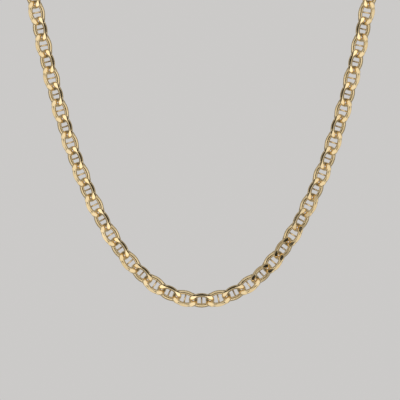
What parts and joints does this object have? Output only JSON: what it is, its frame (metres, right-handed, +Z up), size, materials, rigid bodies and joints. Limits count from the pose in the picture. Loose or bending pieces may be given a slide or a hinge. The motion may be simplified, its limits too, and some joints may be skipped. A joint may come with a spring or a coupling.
{
  "type": "neck chain",
  "caption": "Mariner link neck chain in its worn form: oval links with a crossbar, hooked into each other with opposite leans, hanging in a free front curve and closed at the nape.",
  "frame": {"origin": "the neck side of the chain at the nape, in the middle, where the loop is carried", "axes": "+Z up, -Y the way the front of the chain faces, +X towards the right strand as seen from the front"},
  "size_m": [0.1234, 0.1071, 0.1411],
  "materials": {
    "gold": "polished"
  },
  "bodies": {
    "root": {"chain_left": "gold", "chain_right": "gold", "clasp": "gold"}
  },
  "joints": []
}
